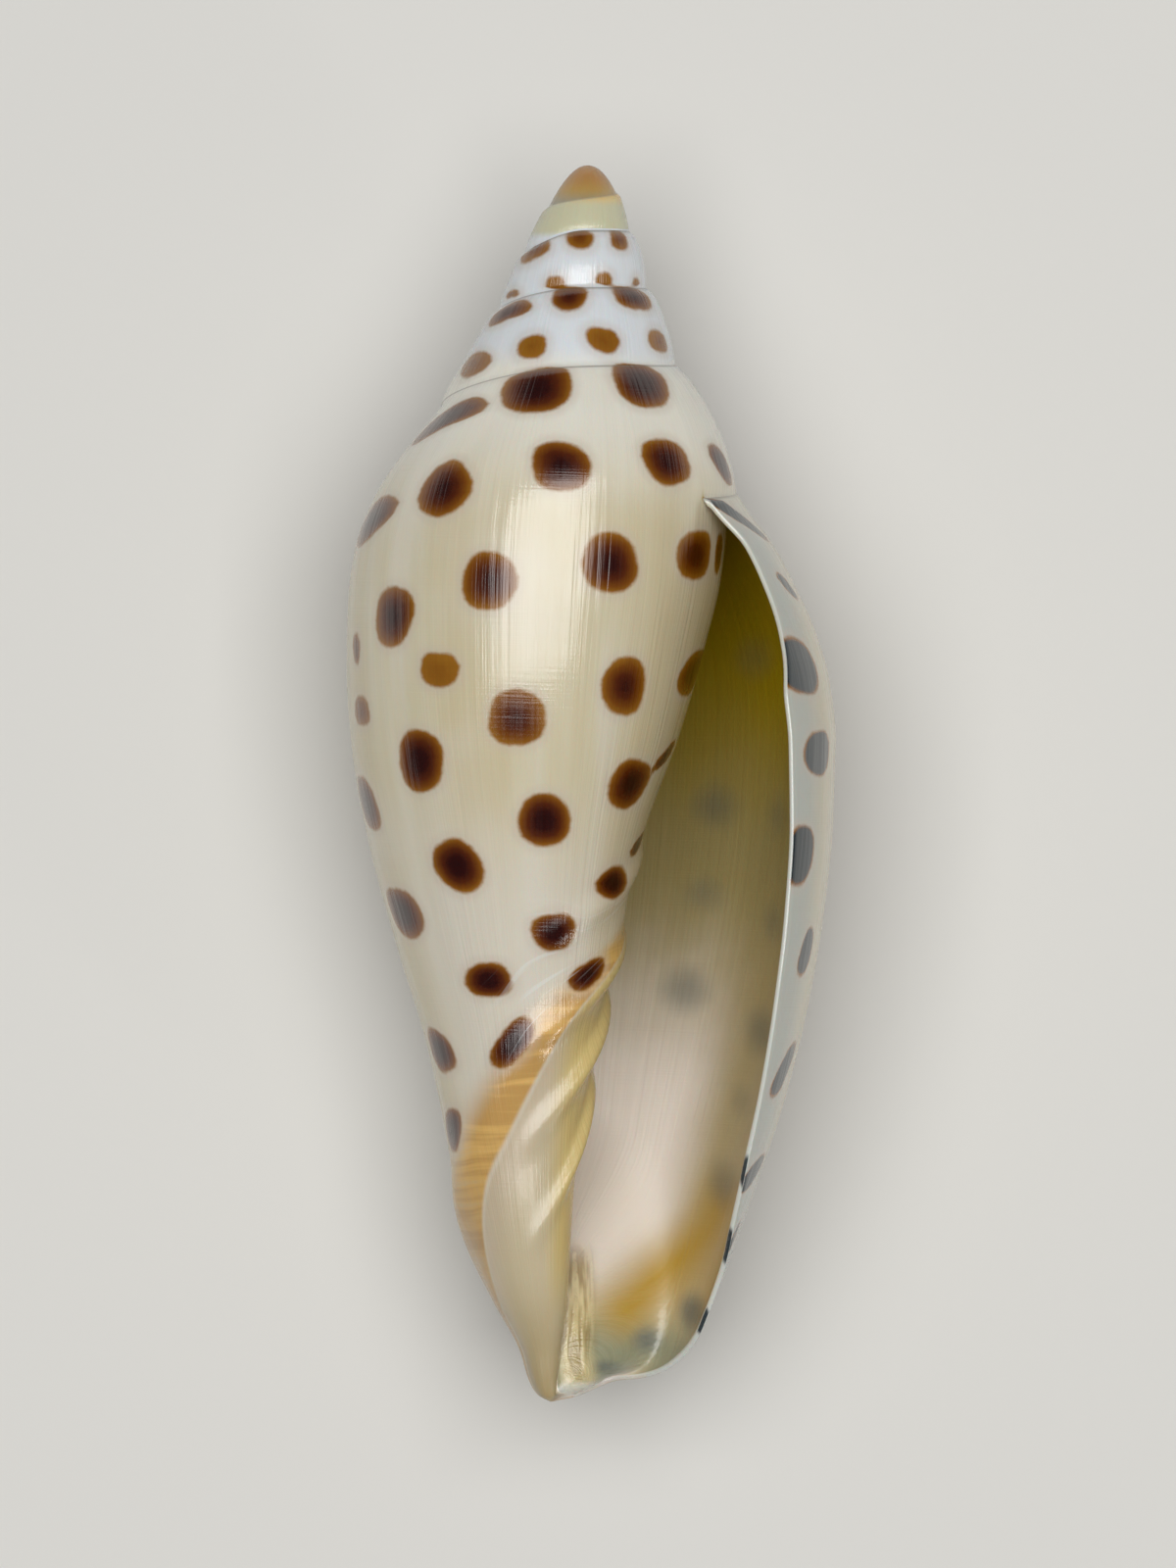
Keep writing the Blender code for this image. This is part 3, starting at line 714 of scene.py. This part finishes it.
def paintLines(piece):
    # the lines, ghosts and edge marks, then what the materials read from turn, drop and side
    points, _, marks = readMesh(piece)
    turn, drop, side = marks["turn"], marks["drop"], marks["side"]
    apex = points[points[:, 1].argmax()].copy()
    for name, (view, line) in shellLines.items():
        values = lineDistance(points, apex, view, line)
        inHollow = name in ("gold", "canal")
        elsewhere = (side > 0.5) != inHollow
        farSide = (points[:, 2] - middleHeight) * view["facing"] < 0
        values[elsewhere | (farSide & (not inHollow))] = outOfReach["line"]
        addMark(piece, name, values)

    ghost, nearest = nearestMark(points, apex, ghosts)
    onInnerWall = (side > 0.9) & (side < 1.5)
    addMark(piece, "ghost", np.where(onInnerWall, ghost, outOfReach["ring"]))
    addMark(piece, "ghostStrength", np.array([row[4] for row in ghosts])[nearest])
    edgeMark = nearestMark(points, apex, edgeMarks)[0]
    onRim = (side > 0.2) & (side < 1.0)
    addMark(piece, "edgeMark", np.where(onRim, edgeMark, outOfReach["ring"]))

    limits = bandLimits
    upper, lower = smoothCurve(fasciole["upper"])(turn), smoothCurve(fasciole["lower"])(turn)
    band = np.clip((drop - upper) / (lower - upper), limits["lowest"], limits["highest"])
    offBand = (turn < limits["firstTurn"]) | (turn > limits["lastTurn"]) | (side == 1)
    addMark(piece, "band", np.where(offBand, limits["lowest"], band))
    onColumella = ease((turn - columellaStart) / columellaFade)
    addMark(piece, "hollow", np.where(side > 1.5, onColumella, np.clip(side, 0, 1)))
    addMark(piece, "seam", np.where(side > 0.5, outOfReach["seam"], drop - sutureDrop(turn)))
    addMark(piece, "turnCos", np.cos(np.radians(turn)))
    addMark(piece, "turnSin", np.sin(np.radians(turn)))


print("spots painted", paintSpots(piece))
paintLines(piece)


class Value:
    # a number that changes over the surface; the sums written with it become Math nodes
    def __init__(self, shader, socket):
        self.shader, self.socket = shader, socket

    def maths(self, operation, *others, swap=False):
        parts = [self, *others][::-1] if swap else [self, *others]
        return Value(self.shader, self.shader.add("ShaderNodeMath", {"operation": operation},
                                                  dict(enumerate(parts))).outputs[0])

    def __add__(self, other):
        return self.maths("ADD", other)

    def __sub__(self, other):
        return self.maths("SUBTRACT", other)

    def __rsub__(self, other):
        return self.maths("SUBTRACT", other, swap=True)

    def __mul__(self, other):
        return self.maths("MULTIPLY", other)

    __radd__, __rmul__ = __add__, __mul__


class Shader:
    # a material and the few calls that fill it
    def __init__(self, name):
        self.material = bpy.data.materials.new(name)
        self.material.use_nodes = True
        self.tree = self.material.node_tree
        self.surface = self.tree.nodes["Principled BSDF"]

    def add(self, kind, settings=None, sockets=None):
        node = self.tree.nodes.new(kind)
        for name, value in (settings or {}).items():
            setattr(node, name, value)
        for name, value in (sockets or {}).items():
            self.feed(node.inputs[name], value)
        return node

    def feed(self, socket, value):
        if isinstance(value, Value):
            self.tree.links.new(value.socket, socket)
        elif isinstance(value, bpy.types.NodeSocket):
            self.tree.links.new(value, socket)
        else:
            socket.default_value = value

    def attribute(self, name):
        return Value(self, self.add("ShaderNodeAttribute", {"attribute_name": name}).outputs["Fac"])

    def fade(self, value, start, end):
        # 0 at start and 1 at end, easy at both; the start may be the higher one
        sockets = {"Value": value, "From Min": start, "From Max": end}
        if start > end:
            sockets = {"Value": value, "From Min": end, "From Max": start, "To Min": 1.0, "To Max": 0.0}
        return Value(self, self.add("ShaderNodeMapRange", {"interpolation_type": "SMOOTHSTEP"},
                                    sockets).outputs["Result"])

    def noise(self, at, scale, detail=3.0, roughness=0.55):
        sockets = {"Vector": at, "Scale": scale, "Detail": detail, "Roughness": roughness}
        return Value(self, self.add("ShaderNodeTexNoise", {}, sockets).outputs["Fac"])

    def growth(self, across, drop, along):
        # a place for noise that runs in lines along the growth; no break where the whorls meet
        c, s = self.attribute("turnCos"), self.attribute("turnSin")
        return self.vector(c * across, s * across, drop * along)

    def vector(self, x, y, z):
        return self.add("ShaderNodeCombineXYZ", {}, {"X": x, "Y": y, "Z": z}).outputs[0]

    def blend(self, share, a, b):
        # from one colour to the other; the Mix node's colour sockets are 6, 7 and output 2
        return self.add("ShaderNodeMix", {"data_type": "RGBA"}, {"Factor": share, 6: a, 7: b}).outputs[2]

    def ramp(self, value, stops):
        node = self.add("ShaderNodeValToRGB", {}, {"Fac": value})
        marks = node.color_ramp.elements
        while len(marks) < len(stops):
            marks.new(1.0)
        for mark, (at, tint) in zip(marks, stops):
            mark.position, mark.color = at, tint
        return node.outputs["Color"]


def colour(red, green, blue):
    # an sRGB colour, 0 to 255, as the linear colour that a socket takes
    def linear(c):
        c /= 255
        return c / 12.92 if c <= 0.04045 else ((c + 0.055) / 1.055) ** 2.4
    return (linear(red), linear(green), linear(blue), 1.0)


shellColours = {
    "cream": colour(214, 205, 176),
    "warmCream": colour(204, 189, 152),
    "paleCream": colour(222, 216, 204),
    "bluishWhite": colour(222, 228, 234),
    "halo": colour(200, 186, 172),
    "apexOrange": colour(248, 196, 66),
    "apexDeep": colour(240, 166, 36),
    "apexCream": colour(206, 204, 172),
    "fasciole": colour(224, 180, 102),
    "fascioleDark": colour(196, 152, 82),
    "fascioleLow": colour(158, 120, 64),
    "callus": colour(200, 186, 154),
    "callusPink": colour(202, 186, 160),
    "columella": colour(216, 192, 124),
    "tip": colour(170, 150, 104),
    "lipOutsideShade": colour(178, 186, 182),
    "whiteThreadAndEdgeGlint": colour(232, 238, 238),
    "shoulder": colour(240, 238, 228),
    "insideTopShade": colour(168, 142, 8),
    "insideMiddle": colour(166, 150, 98),
    "insideLowLit": colour(236, 226, 214),
    "insideEdge": colour(184, 164, 108),
    "insideFoot": colour(150, 150, 120),
    "gold": colour(182, 142, 6),
    "ghost": colour(92, 100, 100),
    "canal": colour(222, 204, 152),
    "canalDeep": colour(158, 132, 76),
    "scar": colour(236, 234, 226),
    "slateSheen": colour(16, 34, 42),
    "seam": colour(120, 108, 96),
}
# A spot's colours from its dark middle out to its golden brown edge.
spotRamp = [
    (0.0, colour(34, 2, 0)), (0.36, colour(46, 5, 1)), (0.62, colour(82, 32, 3)),
    (0.82, colour(118, 66, 8)), (1.0, colour(152, 102, 26)),
]
shellPolish = {
    "sockets": {"IOR": 1.66, "Specular IOR Level": 0.5, "Coat Weight": 0.2, "Coat Roughness": 0.05,
                "Coat IOR": 1.5, "Subsurface Weight": 0.15, "Subsurface Scale": 0.002},
    "roughness": 0.11,
    "roughnessOfLines": 0.08,
    "roughnessInside": 0.22,
    "roughnessOfCallus": 0.06,
    "bumpStrength": 0.3,
    "bumpDistance": 0.00012,
}

# In the fades below, numbers beside turn are degrees, those beside drop, lipAt, spot and the
# lines are millimetres, and those beside band are shares of the fasciole's width. A noise over
# the object's own place has its scale in waves to a metre.


def groundColour(m, at, turn, drop, lipAt):
    # cream, bluish white in the spire, paler low down, with soft bands along the growth lines, and
    # painted shade on the lip's outer side
    c = shellColours
    bands = m.noise(m.growth(2.4, drop, 0.02), 1.0, 3.0)
    nearLip = m.fade(lipAt, 7.0, 1.5) * m.fade(turn, 110.0, 70.0) * m.fade(drop, 22.0, 27.0)
    cloud = m.noise(at, 70.0, 2.0)
    ground = m.blend(m.fade(bands, 0.42, 0.66) * 0.6, c["cream"], c["warmCream"])
    ground = m.blend(m.fade(bands, 0.5, 0.34) * 0.5, ground, c["paleCream"])
    ground = m.blend(m.fade(cloud, 0.48, 0.7) * 0.35, ground, c["paleCream"])
    low = m.fade(drop, 44.0, 56.0) * m.fade(turn, 215.0, 260.0)
    ground = m.blend(low * 0.75, ground, c["paleCream"])
    nearWall = m.fade(turn, 318.0, 350.0) * m.fade(drop, 22.0, 30.0) * m.fade(turn, 520.0, 450.0)
    ground = m.blend(nearWall * 0.6, ground, c["warmCream"])
    ground = m.blend(m.fade(drop, 27.0, 18.0) * 0.8, ground, c["shoulder"])
    ground = m.blend(m.fade(drop, 15.6, 13.2) * 0.9, ground, c["bluishWhite"])
    # painted shade: the outer side of the lip, turned away from the light, made greyer and darker
    ground = m.blend(nearLip * 0.8, ground, c["lipOutsideShade"])
    upper = drop + (m.noise(at, 500.0, 2.0) - 0.5) * 0.5
    ground = m.blend(m.fade(turn, 1296.0, 1299.0) * m.fade(drop, 5.6, 4.9), ground, c["apexCream"])
    orange = m.blend(m.fade(upper, 0.8, 2.2), c["apexDeep"], c["apexOrange"])
    return m.blend(m.fade(upper, 3.2, 1.7), ground, orange)


def bandColour(m, at, turn, drop, band):
    # the fasciole, crossed by arched growth lines
    c = shellColours
    across = m.fade(band, -0.2, 0.5)
    wave = drop * 0.9 + m.noise(at, 120.0, 2.0) * 1.6 + turn * 0.01
    lines = m.noise(m.vector(wave, turn * 0.006, 0.0), 1.0, 3.0, 0.6)
    tan = m.blend(m.fade(lines, 0.4, 0.6), c["fasciole"], c["fascioleDark"])
    tan = m.blend(m.fade(lines, 0.44, 0.3) * 0.3, tan, c["callus"])
    tan = m.blend(m.fade(drop, 68.0, 80.0) * 0.5, tan, c["fascioleLow"])
    return tan, across * m.fade(band, 1.06, 0.9)


def insideColour(m, at, turn, drop, side, gold, canal):
    # the hollow: olive at the top, darkened there as painted shade, paler and pinkish low down,
    # brightened there as painted light through the thin wall, gold beside the lip's foot
    c = shellColours
    cloud = (m.noise(at, 90.0, 3.0) - 0.5) * 10
    # painted shade at the hollow's deep top and painted light in its low part, over its own olive to
    # pinkish tint
    inner = m.blend(m.fade(drop + cloud, 34.0, 52.0), c["insideTopShade"], c["insideMiddle"])
    inner = m.blend(m.fade(drop + cloud, 52.0, 70.0), inner, c["insideLowLit"])
    onLip = m.fade(side, 1.4, 1.1)
    nearLip = m.fade(turn + cloud, 84.0, 54.0) * onLip
    inner = m.blend(nearLip * m.fade(drop, 48.0, 60.0) * 0.85, inner, c["insideEdge"])
    golden = m.fade(gold + cloud * 0.06, 3.6, -0.6) * onLip
    inner = m.blend(m.fade(drop, 82.0, 86.5) * nearLip, inner, c["insideFoot"])
    inner = m.blend(golden * 0.95, inner, c["gold"])
    ghostAt = m.attribute("ghost") + (m.noise(at, 200.0) - 0.5) * 0.5
    inner = m.blend(m.fade(ghostAt, 1.35, 0.1) * m.attribute("ghostStrength") * 0.8, inner, c["ghost"])
    inCanal = m.fade(canal, 1.9, 0.5) * m.fade(drop, 77.8, 80.5)
    streaks = m.noise(m.vector(canal * 1.7 + turn * 0.004, drop * 0.22, 0.0), 1.0, 2.0, 0.6)
    # the film's own streaky tone; its paler streaks also stand in for painted glints
    film = m.blend(m.fade(streaks, 0.36, 0.6), c["canalDeep"], c["canal"])
    return m.blend(inCanal * 0.8, inner, film), inCanal, streaks


def shellMaterial():
    m = Shader("spottedShell")
    c = shellColours
    at = m.add("ShaderNodeTexCoord").outputs["Object"]
    turn, drop, side, lipAt = (m.attribute(name) for name in ("turn", "drop", "side", "lipAt"))
    spot, ring, dark, band = (m.attribute(name) for name in ("spot", "ring", "dark", "band"))
    gold, canal, scar, repair = (m.attribute(name) for name in ("gold", "canal", "scar", "repair"))
    inside, seam = m.attribute("hollow"), m.attribute("seam")

    ground = groundColour(m, at, turn, drop, lipAt)
    tan, onBand = bandColour(m, at, turn, drop, band)
    callus = m.fade(band, 0.94, 1.12) * m.fade(turn, 150.0, 200.0)
    nearEdge = m.fade(turn + (drop - 70.0) * 0.8, 300.0, 335.0) * m.fade(drop, 86.0, 78.0)
    face = m.blend(m.fade(band, 2.4, 1.0), c["callus"], c["callusPink"])
    face = m.blend(nearEdge * 0.85, face, c["columella"])
    ground = m.blend(onBand * 0.95, ground, tan)
    face = m.blend(m.fade(drop, 80.0, 89.5) * 0.85, face, c["tip"])
    ground = m.blend(callus, ground, face)

    # spots, with a faint halo; near the lip they take a slate tint, a painted reflection of the bluish
    # sky on their gloss
    wobble = (m.noise(at, 620.0, 4.0, 0.65) - 0.5) * 0.5
    halo = m.fade(spot + wobble, 0.9, 0.0) * 0.4 * (1 - callus)
    ground = m.blend(halo, ground, c["halo"])
    depth = 1 - (1 - ring) * dark.maths("POWER", 1.5) + (m.noise(at, 300.0, 3.0) - 0.5) * 0.2
    spotColour = m.ramp(depth, spotRamp)
    # painted reflection: spots near the lip and on the parietal wall turned slate, as the sky's sheen on
    # them
    slateSheenShare = m.fade(lipAt, 14.0, 5.0) * m.fade(turn, 130.0, 100.0)
    spotColour = m.blend(slateSheenShare * m.fade(depth, 0.97, 0.8), spotColour, c["slateSheen"])
    onSpot = m.fade(spot + wobble, 0.16, -0.24) * (1 - callus)
    outer = m.blend(onSpot, ground, spotColour)
    # painted shade: a thin dark line in the crease just below each suture
    outer = m.blend(m.fade(seam, 0.22, 0.02) * 0.6, outer, c["seam"])

    # growth scars on the back
    broken = m.fade(m.noise(at, 160.0, 3.0), 0.4, 0.56)
    line = m.fade(scar, 0.7, 0.15) * broken
    mend = m.fade(repair, 0.75, 0.15) * broken
    outer = m.blend((line * 0.4 + mend * 0.25) * (1 - onSpot * 0.88), outer, c["scar"])

    inner, inCanal, streaks = insideColour(m, at, turn, drop, side, gold, canal)
    full = m.blend(inside, outer, inner)
    # painted highlight: a thin white glint along the lip's edge; the same white also draws the spiral
    # threads below
    rim = m.fade(side, 0.02, 0.2) * m.fade(side, 1.3, 1.0) * m.fade(lipAt, 0.4, 0.15)
    full = m.blend(rim * 0.5, full, c["whiteThreadAndEdgeGlint"])
    # the edge marks are spots on the lip's edge, in the same slate tint of painted reflection
    full = m.blend(m.fade(m.attribute("edgeMark"), 1.15, 0.75) * 0.95, full, c["slateSheen"])

    # faint spiral lines above the fasciole
    threads = m.noise(m.vector(band * 7.0, turn * 0.012, 0.0), 1.0, 2.0, 0.7)
    onThread = m.fade(threads, 0.56, 0.66) * m.fade(band, -1.7, -0.6) * m.fade(band, 0.6, 0.1)
    full = m.blend(onThread * m.fade(turn, 262.0, 300.0) * (1 - inside) * 0.35, full, c["whiteThreadAndEdgeGlint"])
    m.feed(m.surface.inputs["Base Color"], full)

    # polish: growth lines, finer spiral scratches, the scars, and wrinkles beside the canal
    scratches = m.noise(m.growth(1.7, drop, 7.0), 1.0, 2.0)
    fine = m.noise(m.growth(40.0, drop, 0.05), 1.0, 3.0)
    wide = m.noise(m.growth(8.0, drop, 0.06), 1.0, 2.0)
    wrinkles = (m.noise(at, 700.0, 2.0) + streaks * 5.0) * inCanal
    height = fine * 1.4 + wide * 1.6 + scratches * 0.25 + wrinkles + (line + mend) * 0.4
    p = shellPolish
    bump = m.add("ShaderNodeBump", {}, {"Strength": p["bumpStrength"], "Distance": p["bumpDistance"],
                                        "Height": height})
    m.feed(m.surface.inputs["Normal"], bump.outputs[0])
    dull = (inside - inCanal * 0.9) * p["roughnessInside"]
    dull = dull + callus * p["roughnessOfCallus"] * (1 - inside)
    lines = m.fade(fine, 0.3, 0.65) * p["roughnessOfLines"]
    m.feed(m.surface.inputs["Roughness"], lines + p["roughness"] + dull)
    for name, value in p["sockets"].items():
        m.feed(m.surface.inputs[name], value)
    return m.material


piece.data.materials.append(shellMaterial())
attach(piece, "root")
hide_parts("shell")
print("shell finished")

pictureRows = 1600
studio = {
    "floorSize": 2.4,
    "floor": {"Base Color": colour(222, 221, 217), "Roughness": 0.85, "Specular IOR Level": 0.2},
    "cameraDistance": 1.0,
    "sensorWidth": 36.0,
    "farthestSeen": 10.0,
    "pictureHeight": pictureRows / frontView["pixelsPerMm"] * mm,
    "sky": (0.86, 0.93, 1.0, 1.0),
    "skyStrength": 0.06,
    # name: place, size across and along, power, colour
    "lights": {
        "key": ((0.0, 0.1, 1.55), (1.6, 1.25), 26.0, (1.0, 0.99, 0.975)),
        "side": ((1.1, -1.0, 0.45), (0.07, 0.35), 1.3, (1.0, 0.97, 0.92)),
    },
}


def makeFloor():
    mesh = bmesh.new()
    bmesh.ops.create_grid(mesh, x_segments=1, y_segments=1, size=studio["floorSize"] / 2)
    data = bpy.data.meshes.new("paleFloor")
    mesh.to_mesh(data)
    mesh.free()
    m = Shader("paleFloor")
    for name, value in studio["floor"].items():
        m.feed(m.surface.inputs[name], value)
    data.materials.append(m.material)
    floor = bpy.data.objects.new("paleFloor", data)
    bpy.context.scene.collection.objects.link(floor)


def makeLights(target):
    for name, (lightAt, size, power, tint) in studio["lights"].items():
        data = bpy.data.lights.new(name, "AREA")
        data.shape = "RECTANGLE"
        data.size, data.size_y = size
        data.energy = power
        data.color = tint
        light = bpy.data.objects.new(name, data)
        light.location = lightAt
        light.rotation_euler = (target - Vector(lightAt)).to_track_quat("-Z", "Y").to_euler()
        bpy.context.scene.collection.objects.link(light)
    world = bpy.data.worlds.new("softStudio")
    world.use_nodes = True
    backdrop = world.node_tree.nodes["Background"]
    backdrop.inputs["Color"].default_value = studio["sky"]
    backdrop.inputs["Strength"].default_value = studio["skyStrength"]
    bpy.context.scene.world = world


def makeCamera(target):
    # straight down on the aperture, turned so that the shell leans as it does in the photograph
    data = bpy.data.cameras.new("camera")
    data.sensor_width = studio["sensorWidth"]
    data.lens = data.sensor_width * studio["cameraDistance"] / studio["pictureHeight"]
    data.clip_end = studio["farthestSeen"]
    camera = bpy.data.objects.new("camera", data)
    camera.location = target + Vector((0, 0, studio["cameraDistance"]))
    camera.rotation_euler = (0, 0, frontView["lean"])
    bpy.context.scene.collection.objects.link(camera)
    bpy.context.scene.camera = camera


shellMiddle = Vector((0, 0, cadBounds[1][2] / 2))
makeFloor()
makeLights(shellMiddle)
makeCamera(shellMiddle)
bpy.context.scene.view_settings.view_transform = "Standard"
print("studio ready")
